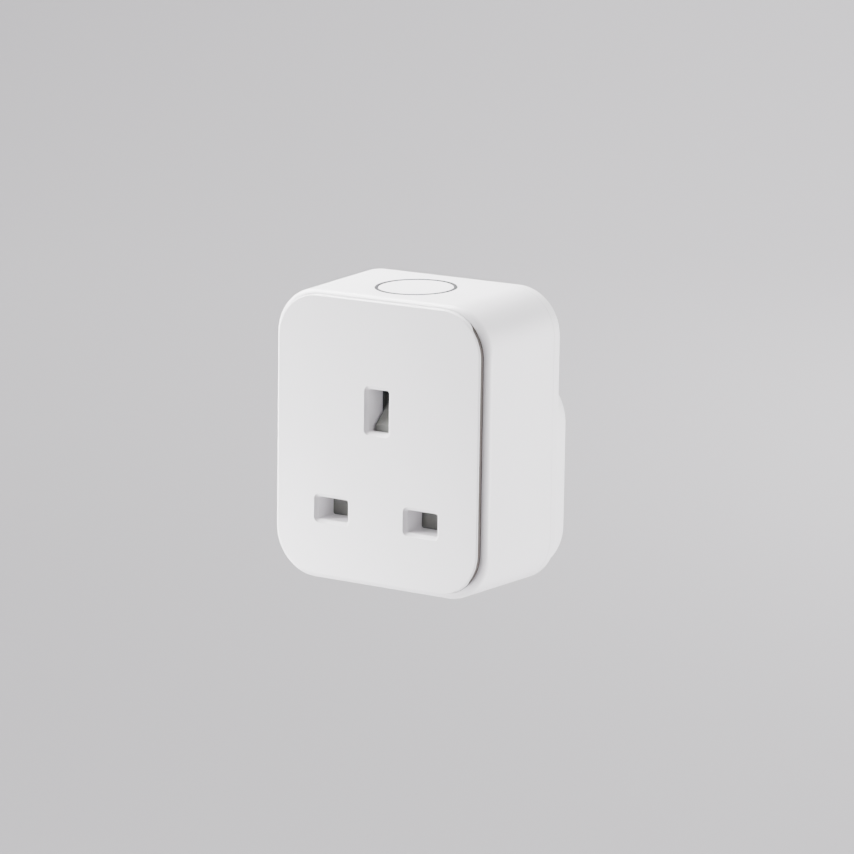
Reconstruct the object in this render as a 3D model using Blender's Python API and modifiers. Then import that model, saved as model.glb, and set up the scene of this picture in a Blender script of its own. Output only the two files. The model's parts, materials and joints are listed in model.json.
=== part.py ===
"""Smart plug: a British three-pin adaptor with a switched, radio-controlled socket.

Lengths are in millimetres here and turned into metres by the helpers.
The origin is the centre of the pin pattern on the rear face, +Y points into
the wall socket, +X is to the right seen from the front, and +Z is up.
"""
import math

import bmesh
import bpy
from mathutils import Matrix, Vector

MM = 0.001

# Clearances
GAP = 0.3
REACH = 1.0

# Pin and aperture pattern
PITCH = 22.23
LINE_X = PITCH / 2
LINE_Z = -PITCH / 2
EARTH_Z = PITCH / 2

# Depth stations, from the rear face (zero) to the front face
BOSS_DEPTH = 7.0
BODY_DEPTH = 27.35
PLATE_PROUD = 1.2
BODY_REAR = -BOSS_DEPTH
BODY_FRONT = BODY_REAR - BODY_DEPTH
FACE_Y = BODY_FRONT - PLATE_PROUD
RECESS_Y = BODY_FRONT + 1.2
FRONT_WALL_Y = RECESS_Y + 1.8
SEAM_Y = BODY_REAR - 2.8
COVER_WALL_Y = BODY_REAR - 2.0

# Outlines seen from the front: width, height, corner radius, centre height
PLATE = (49.8, 59.6, 9.5, 4.38)
BODY_AT_FRONT = (52.96, 61.6, 10.0, 4.2)
BODY_AT_REAR = (54.1, 63.05, 10.0, 4.44)
BOSS = (49.4, 44.0, 11.0, -5.0)
PLATE_THICK = PLATE_PROUD + 1.2 - GAP
WALL = 2.0
BOSS_WALL = 2.2
EDGE = 1.5
REAR_EDGE = 1.0
LIP_WALL = 1.2
LIP_LENGTH = 1.0
PLATE_EDGE = 0.5
CORNER_STEPS = 6

# Apertures: width, height
EARTH_SLOT = (5.0, 9.05)
LINE_SLOT = (7.4, 4.8)
SLOT_BEVEL = 0.8
SLOT_CORNER = 0.4
COLLAR_WALL = 1.2
SHUTTER_FACE_Y = -28.9
COLLAR_END_Y = SHUTTER_FACE_Y - 0.4
COLLAR_CORNER = 1.2
HOOD_END_Y = -29.6
HOOD_LOW_Z = 5.8
WEDGE_WINDOW = (7.9, 0.6, 17.15)

# Pins: section across and up, reach behind the rear face
LINE_PIN = (6.35, 3.97)
LINE_PIN_LENGTH = 17.7
EARTH_PIN = (3.95, 7.92)
EARTH_PIN_LENGTH = 22.7
SLEEVE_LENGTH = 9.5
NECK = (5.1, 2.7)
PIN_FLANGE_Y = -4.0
LINE_FLANGE = (9.0, 6.4)
EARTH_FLANGE = (7.0, 5.9)

# Case screws
SCREW_X = 19.6
SCREW_ZS = (9.4, -18.8)
POST_RADIUS = 2.9
PILOT_RADIUS = 1.7
COLUMN_RADIUS = 4.0
SCREW_CLEARANCE = 1.8
SCREW_HEAD_HOLE = 2.8
SCREW_RECESS_Y = -3.0

# Screws of the pin clamp
CLAMP_SCREW_X = 7.0
CLAMP_SCREW_Z = 3.0
CLAMP_Y = (-6.1, -4.3)
CLAMP_PILOT = 1.3

# Shutter
SHUTTER_TRAVEL = 5.1
SHUTTER_BACK_Y = SHUTTER_FACE_Y + 2.0
SHUTTER_HALF = 2.7
SHUTTER_REACH = 15.3
WEDGE_HALF = 2.1
WEDGE_TIP_Y = -32.75
SPRING_LENGTH = 8.5
SPRING_TURNS = 6
SPRING_RADIUS = 1.05
SPRING_WIRE = 0.2
SPRING_STEPS = 9
CARRIER_Y = (SHUTTER_BACK_Y + GAP, -15.0)
CARRIER_Z = (-24.2, 16.8)
CARRIER_HALF = 16.0
RAIL_Z = (-15.9, -7.0)

# Spring contacts behind the apertures
CONTACT_BACK_Y = -15.3
LEAF = 0.6
CONTACT_HALF = 3.4

# Button, set in the slightly sloping top
BUTTON_Y = -21.3
BUTTON_RADIUS = 7.9
BUTTON_HOLE = 8.7
RING_INNER = 8.1
RING_LIP = 8.5
RING_OUTER = 9.7
RING_LIP_TOP = 0.1
RING_TOP = 1.3
RING_THICK = 1.5
STEM_LENGTH = 5.0

# Boards
BOARD_Z = 17.5
BOARD_THICK = 1.6
PARTS_Z = BOARD_Z + BOARD_THICK + GAP
BUTTON_BOARD_Z = 23.3

# Relay, on the left of the main board
RELAY_X = (-22.6, -12.2)
RELAY_Y = (-30.2, -12.2)
RELAY_TOP = 29.0
RELAY_BASE = 1.2
RELAY_WALL = 0.7
COIL_X = -16.5
COIL_Z = 24.2
ARMATURE_Y = -17.2
HINGE_Z = 27.3


def reset_scene():
    """Remove whatever the file opened with."""
    for obj in list(bpy.data.objects):
        bpy.data.objects.remove(obj)


def make_collection(name):
    collection = bpy.data.collections.new(name)
    bpy.context.scene.collection.children.link(collection)
    return collection


reset_scene()
PARTS = make_collection("smart_plug")
CUTTERS = make_collection("cutters")


def material(name, colour, roughness, metallic=0.0):
    found = bpy.data.materials.get(name)
    if found:
        return found
    made = bpy.data.materials.new(name)
    made.use_nodes = True
    shader = made.node_tree.nodes["Principled BSDF"]
    shader.inputs["Base Color"].default_value = (*colour, 1.0)
    shader.inputs["Roughness"].default_value = roughness
    shader.inputs["Metallic"].default_value = metallic
    return made


def white_plastic():
    return material("white_plastic", (0.80, 0.79, 0.80), 0.45)


def grey_plastic():
    return material("grey_plastic", (0.30, 0.31, 0.31), 0.55)


def shutter_plastic():
    return material("shutter_plastic", (0.45, 0.46, 0.44), 0.5)


def dark_plastic():
    return material("dark_plastic", (0.02, 0.02, 0.022), 0.4)


def blue_plastic():
    return material("blue_plastic", (0.02, 0.08, 0.35), 0.35)


def clear_diffuser():
    return material("clear_diffuser", (0.75, 0.78, 0.80), 0.3)


def pin_brass():
    return material("pin_brass", (0.78, 0.60, 0.30), 0.28, 1.0)


def contact_copper():
    return material("contact_copper", (0.80, 0.42, 0.25), 0.35, 1.0)


def winding_copper():
    return material("winding_copper", (0.60, 0.25, 0.10), 0.4, 1.0)


def bright_steel():
    return material("bright_steel", (0.62, 0.62, 0.60), 0.3, 1.0)


def silver_contact():
    return material("silver_contact", (0.85, 0.84, 0.80), 0.25, 1.0)


def board_laminate():
    return material("board_laminate", (0.01, 0.14, 0.05), 0.45)


def component_yellow():
    return material("component_yellow", (0.70, 0.45, 0.03), 0.4)


def finish(obj, surface, collection=PARTS):
    """Give the object its material, its shading and its collection."""
    obj.data.materials.clear()
    obj.data.materials.append(surface)
    for owner in list(obj.users_collection):
        owner.objects.unlink(obj)
    collection.objects.link(obj)
    if obj.type == "MESH":
        obj.data.shade_smooth()
        obj.data.set_sharp_from_angle(angle=math.radians(35))
    return obj


def mesh_object(name, bm):
    bmesh.ops.recalc_face_normals(bm, faces=bm.faces)
    mesh = bpy.data.meshes.new(name)
    bm.to_mesh(mesh)
    bm.free()
    obj = bpy.data.objects.new(name, mesh)
    PARTS.objects.link(obj)
    return obj


def box(name, low, high):
    """A plain block between two corners."""
    bm = bmesh.new()
    bmesh.ops.create_cube(bm, size=1.0)
    size = Vector(high) - Vector(low)
    middle = (Vector(high) + Vector(low)) / 2
    bmesh.ops.scale(bm, vec=size * MM, verts=bm.verts)
    bmesh.ops.translate(bm, vec=middle * MM, verts=bm.verts)
    return mesh_object(name, bm)


def turn_to(axis):
    """Rotation that takes local +Z to the named axis."""
    if axis == "Y":
        return Matrix.Rotation(-math.pi / 2, 4, "X")
    if axis == "X":
        return Matrix.Rotation(math.pi / 2, 4, "Y")
    return Matrix.Identity(4)


def cylinder(name, centre, radius, length, axis="Z", segments=24):
    """A round bar about its centre."""
    bm = bmesh.new()
    bmesh.ops.create_cone(
        bm,
        cap_ends=True,
        segments=segments,
        radius1=radius * MM,
        radius2=radius * MM,
        depth=length * MM,
    )
    place = Matrix.Translation(Vector(centre) * MM) @ turn_to(axis)
    bmesh.ops.transform(bm, matrix=place, verts=bm.verts)
    return mesh_object(name, bm)


def bar_y(name, x, z, radius, y_low, y_high, segments=24):
    """A round bar along the depth."""
    return cylinder(name, (x, (y_low + y_high) / 2, z), radius, y_high - y_low, "Y", segments)


def turned(name, profile, centre, surface, axis="Z", steps=20, closed=False):
    """A turned shape; the profile holds radius and height, down the outer side."""
    mesh = bpy.data.meshes.new(name)
    points = [(radius * MM, 0.0, height * MM) for radius, height in profile]
    edges = [(i, i + 1) for i in range(len(points) - 1)]
    if closed:
        edges.append((len(points) - 1, 0))
    mesh.from_pydata(points, edges, [])
    obj = bpy.data.objects.new(name, mesh)
    obj.matrix_world = Matrix.Translation(Vector(centre) * MM) @ turn_to(axis)
    screw = obj.modifiers.new("turn", "SCREW")
    screw.angle = 2 * math.pi
    screw.steps = steps
    screw.render_steps = steps
    screw.use_merge_vertices = True
    screw.merge_threshold = 0.00001
    return finish(obj, surface)


def rounded_rect(width, height, radius, centre_z=0.0, centre_x=0.0, steps=CORNER_STEPS):
    """Outline points of a rectangle with round corners, anticlockwise."""
    points = []
    for quarter, (sign_x, sign_z) in enumerate(((1, 1), (-1, 1), (-1, -1), (1, -1))):
        corner_x = centre_x + sign_x * (width / 2 - radius)
        corner_z = centre_z + sign_z * (height / 2 - radius)
        for step in range(steps + 1):
            angle = (quarter + step / steps) * math.pi / 2
            points.append((corner_x + radius * math.cos(angle), corner_z + radius * math.sin(angle)))
    return points


def inset_rect(outline, inset, steps=CORNER_STEPS):
    """The outline of a named rectangle, moved inwards all round."""
    width, height, radius, centre_z = outline
    corner = max(radius - inset, 0.05)
    return rounded_rect(width - 2 * inset, height - 2 * inset, corner, centre_z, steps=steps)


def loft(name, sections):
    """A closed solid through outlines at the given depths."""
    bm = bmesh.new()
    rings = []
    for depth, outline in sections:
        rings.append([bm.verts.new((x * MM, depth * MM, z * MM)) for x, z in outline])
    count = len(rings[0])
    for near, far in zip(rings, rings[1:]):
        for i in range(count):
            j = (i + 1) % count
            bm.faces.new((near[i], near[j], far[j], far[i]))
    bm.faces.new(rings[0])
    bm.faces.new(list(reversed(rings[-1])))
    return mesh_object(name, bm)


def prism(name, points, axis, low, high):
    """A flat outline given a thickness: Y takes (x, z), X takes (y, z), Z takes (x, y)."""
    curve = bpy.data.curves.new(name, "CURVE")
    curve.dimensions = "2D"
    curve.fill_mode = "BOTH"
    curve.extrude = (high - low) / 2 * MM
    spline = curve.splines.new("POLY")
    spline.points.add(len(points) - 1)
    for point, (u, v) in zip(spline.points, points):
        point.co = (u * MM, v * MM, 0.0, 1.0)
    spline.use_cyclic_u = True
    outline = bpy.data.objects.new(name + "_outline", curve)
    PARTS.objects.link(outline)
    evaluated = outline.evaluated_get(bpy.context.evaluated_depsgraph_get())
    mesh = bpy.data.meshes.new_from_object(evaluated)
    bpy.data.objects.remove(outline)
    middle = (high + low) / 2 * MM
    if axis == "Z":
        turn = Matrix.Translation((0.0, 0.0, middle))
    elif axis == "X":
        turn = Matrix(((0, 0, 1, middle), (1, 0, 0, 0), (0, 1, 0, 0), (0, 0, 0, 1)))
    else:
        turn = Matrix(((1, 0, 0, 0), (0, 0, -1, middle), (0, 1, 0, 0), (0, 0, 0, 1)))
    bm = bmesh.new()
    bm.from_mesh(mesh)
    bpy.data.meshes.remove(mesh)
    bmesh.ops.remove_doubles(bm, verts=bm.verts, dist=0.000001)
    bmesh.ops.transform(bm, matrix=turn, verts=bm.verts)
    return mesh_object(name, bm)


def combine(target, tool, operation):
    """Join or cut the target with a helper solid, which is then hidden."""
    tool.name = f"{target.name}_{operation.lower()}_{len(target.modifiers)}"
    for owner in list(tool.users_collection):
        owner.objects.unlink(tool)
    CUTTERS.objects.link(tool)
    tool.hide_render = True
    tool.display_type = "WIRE"
    step = target.modifiers.new(operation.lower(), "BOOLEAN")
    step.operation = operation
    step.object = tool
    step.solver = "EXACT"


def join(target, tool):
    combine(target, tool, "UNION")


def cut(target, tool):
    combine(target, tool, "DIFFERENCE")


def soften(obj, width, segments=2):
    """Rounded edges."""
    bevel = obj.modifiers.new("edges", "BEVEL")
    bevel.width = width * MM
    bevel.segments = segments
    bevel.limit_method = "ANGLE"
    return obj


def set_origin(obj, centre):
    """Put the object's origin on its joint axis without moving the shape."""
    shift = Vector(centre) * MM
    obj.data.transform(Matrix.Translation(-shift))
    obj.location = shift
    return obj


def body_rect(depth):
    """Outline sizes of the body at a depth, between its front and rear faces."""
    share = (depth - BODY_FRONT) / BODY_DEPTH
    return tuple(a + (b - a) * share for a, b in zip(BODY_AT_FRONT, BODY_AT_REAR))


def body_top(depth):
    width, height, radius, centre_z = body_rect(depth)
    return centre_z + height / 2


def quarter_round(radius, steps=4):
    """Depth and inset of points along a rounded edge, from the end face outwards."""
    angles = [math.pi / 2 * step / steps for step in range(steps + 1)]
    return [(radius * (1 - math.sin(a)), radius * (1 - math.cos(a))) for a in reversed(angles)]


def slot_cutter(size, centre_x, centre_z, end_y):
    """An aperture with a chamfered mouth, running back from the front face."""
    width, height = size
    stations = (
        (FACE_Y - REACH, SLOT_BEVEL),
        (FACE_Y, SLOT_BEVEL),
        (FACE_Y + SLOT_BEVEL, 0.0),
        (end_y, 0.0),
    )
    sections = []
    for depth, spread in stations:
        corner = SLOT_CORNER + spread
        grown = (width + 2 * spread, height + 2 * spread)
        sections.append((depth, rounded_rect(*grown, corner, centre_z, centre_x, steps=3)))
    return loft("slot_cutter", sections)


def line_collar(side, gap=0.0):
    """Outline of the wall round a live or neutral aperture."""
    width, height = (size + 2 * (COLLAR_WALL + gap) for size in LINE_SLOT)
    return rounded_rect(width, height, COLLAR_CORNER + gap, LINE_Z, side * LINE_X, steps=3)


def make_front_plate():
    sections = []
    for depth, inset in quarter_round(PLATE_EDGE):
        sections.append((FACE_Y + depth, inset_rect(PLATE, inset)))
    back_y = FACE_Y + PLATE_THICK
    sections.append((back_y, inset_rect(PLATE, 0.0)))
    plate = loft("front_plate", sections)
    inside_y = FACE_Y + PLATE_THICK / 2
    for side in (-1, 1):
        join(plate, prism("collar", line_collar(side), "Y", inside_y, COLLAR_END_Y))
    half = EARTH_SLOT[0] / 2
    hood_x = half + COLLAR_WALL
    hood_top = EARTH_Z + EARTH_SLOT[1] / 2 + COLLAR_WALL
    join(plate, box("hood", (-hood_x, inside_y, HOOD_LOW_Z), (hood_x, HOOD_END_Y, hood_top)))
    for side in (-1, 1):
        cut(plate, slot_cutter(LINE_SLOT, side * LINE_X, LINE_Z, COLLAR_END_Y + REACH))
    cut(plate, slot_cutter(EARTH_SLOT, 0.0, EARTH_Z, HOOD_END_Y + REACH))
    way_low = (-half, back_y, HOOD_LOW_Z - REACH)
    cut(plate, box("wedge_way", way_low, (half, HOOD_END_Y + REACH, EARTH_Z)))
    return finish(plate, white_plastic())


def screw_places():
    return [(side * SCREW_X, z) for z in SCREW_ZS for side in (-1, 1)]


def button_frame():
    """Where the button sits: its centre on the top face, tilted with that face."""
    rise = body_top(BODY_REAR) - body_top(BODY_FRONT)
    tilt = math.atan2(rise, BODY_DEPTH)
    centre = Vector((0.0, BUTTON_Y, body_top(BUTTON_Y))) * MM
    return Matrix.Translation(centre) @ Matrix.Rotation(tilt, 4, "X")


def make_main_housing():
    sections = []
    for depth, inset in quarter_round(EDGE):
        sections.append((BODY_FRONT + depth, inset_rect(body_rect(BODY_FRONT + depth), inset)))
    end_y = SEAM_Y - GAP
    sections.append((end_y, inset_rect(body_rect(end_y), 0.0)))
    housing = loft("main_housing", sections)
    hollow = [(y, inset_rect(body_rect(y), WALL)) for y in (FRONT_WALL_Y, end_y + REACH)]
    cut(housing, loft("hollow", hollow))
    recess = inset_rect(PLATE, -GAP)
    cut(housing, prism("recess", recess, "Y", BODY_FRONT - REACH, RECESS_Y))
    for x, z in screw_places():
        join(housing, bar_y("post", x, z, POST_RADIUS, FRONT_WALL_Y - 0.8, COVER_WALL_Y - GAP))
    for side in (-1, 1):
        ends = sorted((side * 21.4, side * 25.2))
        join(housing, box("ledge", (ends[0], FRONT_WALL_Y - 0.9, 16.1), (ends[1], -12.6, 17.2)))
    for x, z in screw_places():
        cut(housing, bar_y("pilot", x, z, PILOT_RADIUS, -23.0, COVER_WALL_Y + REACH))
    window_y = (RECESS_Y - REACH / 2, FRONT_WALL_Y + REACH / 2)
    for side in (-1, 1):
        cut(housing, prism("window", line_collar(side, GAP), "Y", *window_y))
    width, low_z, high_z = WEDGE_WINDOW
    wedge_low = (-width / 2, window_y[0], low_z)
    cut(housing, box("wedge_window", wedge_low, (width / 2, window_y[1], high_z)))
    for radius, high, low in ((BUTTON_HOLE, 1.0, -1.15), (RING_OUTER + GAP, -1.0, -4.0)):
        hole = cylinder("button_hole", (0.0, 0.0, (high + low) / 2), radius, high - low, segments=40)
        hole.matrix_world = button_frame()
        cut(housing, hole)
    return finish(housing, white_plastic())


def clamp_screw_places():
    return [(side * CLAMP_SCREW_X, CLAMP_SCREW_Z) for side in (-1, 1)]


def pin_opening(size, centre_x, centre_z):
    """A hole in the rear face with clearance round one pin."""
    outline = rounded_rect(size[0] + 2 * GAP, size[1] + 2 * GAP, 0.6, centre_z, centre_x, steps=3)
    return prism("pin_hole", outline, "Y", -BOSS_WALL - REACH, REACH)


def make_rear_cover():
    sections = [(SEAM_Y, inset_rect(body_rect(SEAM_Y), 0.0))]
    for depth, inset in reversed(quarter_round(REAR_EDGE)):
        sections.append((BODY_REAR - depth, inset_rect(body_rect(BODY_REAR - depth), inset)))
    cover = loft("rear_cover", sections)
    boss = [(BODY_REAR - REACH, inset_rect(BOSS, 0.0))]
    for depth, inset in reversed(quarter_round(REAR_EDGE)):
        boss.append((-depth, inset_rect(BOSS, inset)))
    join(cover, loft("boss", boss))
    lip_y = SEAM_Y - LIP_LENGTH
    lip = [(y, inset_rect(body_rect(y), WALL + GAP)) for y in (lip_y, SEAM_Y + REACH / 2)]
    join(cover, loft("lip", lip))
    inner = WALL + GAP + LIP_WALL
    pocket = [(y, inset_rect(body_rect(y), inner)) for y in (lip_y - REACH, COVER_WALL_Y)]
    cut(cover, loft("pocket", pocket))
    hollow = inset_rect(BOSS, BOSS_WALL)
    cut(cover, prism("boss_hollow", hollow, "Y", COVER_WALL_Y - REACH, -BOSS_WALL))
    inside_wall_y = -BOSS_WALL / 2
    for x, z in screw_places():
        join(cover, bar_y("column", x, z, COLUMN_RADIUS, COVER_WALL_Y, inside_wall_y))
    for x, z in clamp_screw_places():
        join(cover, bar_y("clamp_column", x, z, 2.4, CLAMP_Y[1] + GAP, inside_wall_y))
    for x, z in screw_places():
        cut(cover, bar_y("screw_clearance", x, z, SCREW_CLEARANCE, COVER_WALL_Y - REACH, REACH))
        cut(cover, bar_y("screw_recess", x, z, SCREW_HEAD_HOLE, SCREW_RECESS_Y, REACH))
    for x, z in clamp_screw_places():
        cut(cover, bar_y("clamp_pilot", x, z, CLAMP_PILOT, CLAMP_Y[1] - REACH, -1.8, 20))
    for side in (-1, 1):
        cut(cover, pin_opening(LINE_PIN, side * LINE_X, LINE_Z))
    cut(cover, pin_opening(EARTH_PIN, 0.0, EARTH_Z))
    return finish(cover, white_plastic())


def make_case_screws():
    head_y = -1.2
    shoulder_y = SCREW_RECESS_Y + GAP
    tip_y = -21.8
    profile = [
        (0.0, head_y),
        (1.9, head_y),
        (2.3, head_y - 0.3),
        (2.3, shoulder_y),
        (1.4, shoulder_y),
        (1.4, tip_y + 1.3),
        (0.9, tip_y),
        (0.0, tip_y),
    ]
    slot = (1.2, 0.25)
    for number, (x, z) in enumerate(screw_places(), 1):
        screw = turned(f"case_screw_{number}", profile, (x, 0.0, z), bright_steel(), axis="Y")
        low = (x - slot[0], head_y - 0.7, z - slot[1])
        high = (x + slot[0], head_y + 0.7, z + slot[1])
        drive = box("drive", low, high)
        drive.data.transform(screw.matrix_world.inverted())
        drive.matrix_world = screw.matrix_world
        cut(screw, drive)


def rect(size, centre_x, centre_z, corner=0.25):
    return rounded_rect(size[0], size[1], corner, centre_z, centre_x, steps=2)


def pin(name, centre_x, centre_z, stations):
    """A plug pin as stations along the depth (start, end, size), with a tapered tip."""
    sections = []
    for start, end, size in stations:
        sections.append((start, rect(size, centre_x, centre_z)))
        sections.append((end, rect(size, centre_x, centre_z)))
    start, tip_y, size = stations[-1]
    sections[-1] = (tip_y - 1.6, rect(size, centre_x, centre_z))
    for back, shrink in ((0.6, 0.5), (0.0, 1.8)):
        small = (size[0] - shrink, size[1] - shrink)
        sections.append((tip_y - back, rect(small, centre_x, centre_z)))
    return finish(loft(name, sections), pin_brass())


def make_pins():
    flange_end = -BOSS_WALL - GAP
    for name, side, tail_y in (("line_pin", 1, -12.2), ("neutral_pin", -1, -13.8)):
        stations = (
            (tail_y, PIN_FLANGE_Y, (3.0, 2.0)),
            (PIN_FLANGE_Y, flange_end, LINE_FLANGE),
            (flange_end, SLEEVE_LENGTH + GAP, NECK),
            (SLEEVE_LENGTH + GAP, LINE_PIN_LENGTH, LINE_PIN),
        )
        pin(name, side * LINE_X, LINE_Z, stations)
    neck_end = flange_end + 0.2
    stations = (
        (-13.8, PIN_FLANGE_Y, (3.0, 2.6)),
        (PIN_FLANGE_Y, flange_end, EARTH_FLANGE),
        (flange_end, neck_end, (3.6, 5.6)),
        (neck_end, EARTH_PIN_LENGTH, EARTH_PIN),
    )
    pin("earth_pin", 0.0, EARTH_Z, stations)


def make_sleeves():
    for name, side in (("line_pin_sleeve", 1), ("neutral_pin_sleeve", -1)):
        outer = rect(LINE_PIN, side * LINE_X, LINE_Z)
        sleeve = prism(name, outer, "Y", -BOSS_WALL, SLEEVE_LENGTH)
        bore = rect((NECK[0] + 2 * GAP, NECK[1] + 2 * GAP), side * LINE_X, LINE_Z, 0.3)
        cut(sleeve, prism("bore", bore, "Y", -BOSS_WALL - REACH, SLEEVE_LENGTH + REACH))
        finish(sleeve, dark_plastic())


def make_pin_clamp():
    """The plate behind the pin flanges, with its two screws."""
    clamp = prism("pin_clamp", rounded_rect(30.4, 29.4, 4.0, -0.8, steps=4), "Y", *CLAMP_Y)
    through = (CLAMP_Y[0] - REACH, CLAMP_Y[1] + REACH)
    line_tail = (3.6, 2.6)
    earth_tail = (3.6, 3.2)
    for x, z, size in (
        (LINE_X, LINE_Z, line_tail),
        (-LINE_X, LINE_Z, line_tail),
        (0.0, EARTH_Z, earth_tail),
    ):
        cut(clamp, prism("tail_hole", rect(size, x, z), "Y", *through))
    for x, z in clamp_screw_places():
        cut(clamp, bar_y("screw_hole", x, z, CLAMP_PILOT, *through, 20))
    finish(clamp, grey_plastic())
    head_y = CLAMP_Y[0] - GAP
    profile = [
        (0.0, -2.4),
        (1.0, -2.4),
        (1.0, head_y),
        (2.0, head_y),
        (2.0, head_y - 1.1),
        (1.6, head_y - 1.4),
        (0.0, head_y - 1.4),
    ]
    for number, (x, z) in enumerate(clamp_screw_places(), 1):
        turned(f"clamp_screw_{number}", profile, (x, 0.0, z), bright_steel(), axis="Y")


def make_socket_carrier():
    front_y, back_y = CARRIER_Y
    low_z, high_z = CARRIER_Z
    low = (-CARRIER_HALF, front_y, low_z)
    carrier = box("socket_carrier", low, (CARRIER_HALF, back_y, high_z))
    rail_x = SHUTTER_REACH + GAP + 0.05
    for side in (-1, 1):
        ends = sorted((side * rail_x, side * (rail_x + 0.95)))
        rail_low = (ends[0], COLLAR_END_Y + GAP, RAIL_Z[0])
        join(carrier, box("rail", rail_low, (ends[1], front_y + 2.0, RAIL_Z[1])))
    seat_low = (-3.0, SHUTTER_FACE_Y - REACH, low_z + 0.2)
    join(carrier, box("spring_seat", seat_low, (3.0, front_y + 1.0, low_z + 1.3)))
    reach_y = (front_y - REACH, back_y + REACH)
    pockets = [rounded_rect(8.0, 8.2, 0.6, LINE_Z, side * LINE_X, steps=2) for side in (-1, 1)]
    pockets.append(rounded_rect(8.0, 9.6, 0.6, EARTH_Z + 0.2, steps=2))
    for pocket in pockets:
        cut(carrier, prism("pocket", pocket, "Y", *reach_y))
    for side in (-1, 1):
        core = rounded_rect(8.0, 12.0, 1.0, 7.0, side * 10.5, steps=2)
        cut(carrier, prism("core_out", core, "Y", front_y + 2.2, reach_y[1]))
    return finish(carrier, grey_plastic())


def fork_profile(back_y):
    """A spring clip from the side: two leaves that pinch near their mouth."""
    outer = [(back_y, 3.2), (-19.0, 3.2), (-23.0, 2.5), (-25.8, 3.3)]
    inner = [(-25.8, 2.7), (-23.0, 1.85), (-19.0, 2.6), (back_y - LEAF, 2.6)]
    half = outer + inner
    return half + [(y, -z) for y, z in reversed(half)]


def make_contacts():
    profile = fork_profile(CONTACT_BACK_Y)
    for name, side in (("line_contact", 1), ("neutral_contact", -1)):
        raised = [(y, z + LINE_Z) for y, z in profile]
        middle = side * LINE_X
        clip = prism(name, raised, "X", middle - CONTACT_HALF, middle + CONTACT_HALF)
        finish(clip, contact_copper())
    across = [(z, y) for y, z in profile]
    clip = prism("earth_contact", across, "Z", EARTH_Z - 4.0, EARTH_Z + 4.2)
    finish(clip, contact_copper())


def make_busbars():
    """Flat strips from the contacts and the line pin up to the main board."""
    thick = 0.8
    strips = (
        ("line_in_busbar", 9.6, 12.6, -13.3, -13.2),
        ("line_out_busbar", 13.1, 15.8, -14.8, -14.0),
        ("neutral_busbar", -12.6, -9.6, -14.9, -13.2),
    )
    for name, x_low, x_high, y_low, z_low in strips:
        strip = box(name, (x_low, y_low, z_low), (x_high, y_low + thick, BOARD_Z - GAP - 0.1))
        finish(soften(strip, 0.15, 1), contact_copper())
    strap = box("earth_strap", (-2.0, -14.9, 6.5), (2.0, -14.9 + thick, 15.5))
    finish(soften(strap, 0.15, 1), contact_copper())


def make_shutter():
    """The sliding shutter: a ramp for the earth pin and a bar over both line apertures."""
    tip_top = EARTH_Z - 3.2
    profile = [
        (WEDGE_TIP_Y, tip_top),
        (WEDGE_TIP_Y, tip_top - 1.4),
        (SHUTTER_FACE_Y, EARTH_Z - 6.9),
        (SHUTTER_FACE_Y, LINE_Z - SHUTTER_HALF),
        (SHUTTER_BACK_Y, LINE_Z - SHUTTER_HALF),
        (SHUTTER_BACK_Y, EARTH_Z + 1.6),
        (HOOD_END_Y, EARTH_Z - 0.5),
    ]
    shutter = prism("shutter", profile, "X", -WEDGE_HALF, WEDGE_HALF)
    low = (-SHUTTER_REACH, SHUTTER_FACE_Y + 0.1, LINE_Z - SHUTTER_HALF + 0.05)
    high = (SHUTTER_REACH, SHUTTER_BACK_Y - 0.1, LINE_Z + SHUTTER_HALF)
    cross_bar = box("cross_bar", low, high)
    join(shutter, cross_bar)
    set_origin(shutter, (0.0, (SHUTTER_FACE_Y + SHUTTER_BACK_Y) / 2, LINE_Z))
    return finish(shutter, shutter_plastic())


def make_shutter_spring():
    """A compression spring under the shutter, wound as a helix."""
    curve = bpy.data.curves.new("shutter_spring", "CURVE")
    curve.dimensions = "3D"
    curve.bevel_depth = SPRING_WIRE * MM
    curve.bevel_resolution = 2
    curve.use_fill_caps = True
    spline = curve.splines.new("POLY")
    steps = SPRING_STEPS * SPRING_TURNS
    spline.points.add(steps)
    wire_top = LINE_Z - SHUTTER_HALF - GAP - SPRING_WIRE
    drop = SPRING_LENGTH - 2 * SPRING_WIRE
    middle_y = SHUTTER_FACE_Y + 0.7
    for i, point in enumerate(spline.points):
        angle = 2 * math.pi * i / SPRING_STEPS
        across = SPRING_RADIUS * math.cos(angle)
        along = middle_y + SPRING_RADIUS * math.sin(angle)
        height = wire_top - drop * i / steps
        point.co = (across * MM, along * MM, height * MM, 1.0)
    spring = bpy.data.objects.new("shutter_spring", curve)
    return finish(spring, bright_steel())


def make_button():
    skirt = RING_TOP + RING_THICK + GAP
    profile = [
        (0.0, 0.0),
        (BUTTON_RADIUS - 0.35, 0.0),
        (BUTTON_RADIUS - 0.1, -0.1),
        (BUTTON_RADIUS, -0.35),
        (BUTTON_RADIUS, -skirt),
        (BUTTON_RADIUS + 1.0, -skirt),
        (BUTTON_RADIUS + 1.0, -skirt - 0.9),
        (7.0, -skirt - 0.9),
        (7.0, -1.6),
        (1.5, -1.6),
        (1.5, -STEM_LENGTH),
        (0.0, -STEM_LENGTH),
    ]
    button = turned("button_cap", profile, (0.0, 0.0, 0.0), white_plastic(), steps=40)
    button.matrix_world = button_frame()


def make_light_ring():
    bottom = -RING_TOP - RING_THICK
    profile = [
        (RING_INNER, -RING_LIP_TOP),
        (RING_LIP, -RING_LIP_TOP),
        (RING_LIP, -RING_TOP),
        (RING_OUTER, -RING_TOP),
        (RING_OUTER, bottom),
        (RING_INNER, bottom),
    ]
    ring = turned("light_ring", profile, (0.0, 0.0, 0.0), clear_diffuser(), steps=40, closed=True)
    ring.matrix_world = button_frame()


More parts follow.
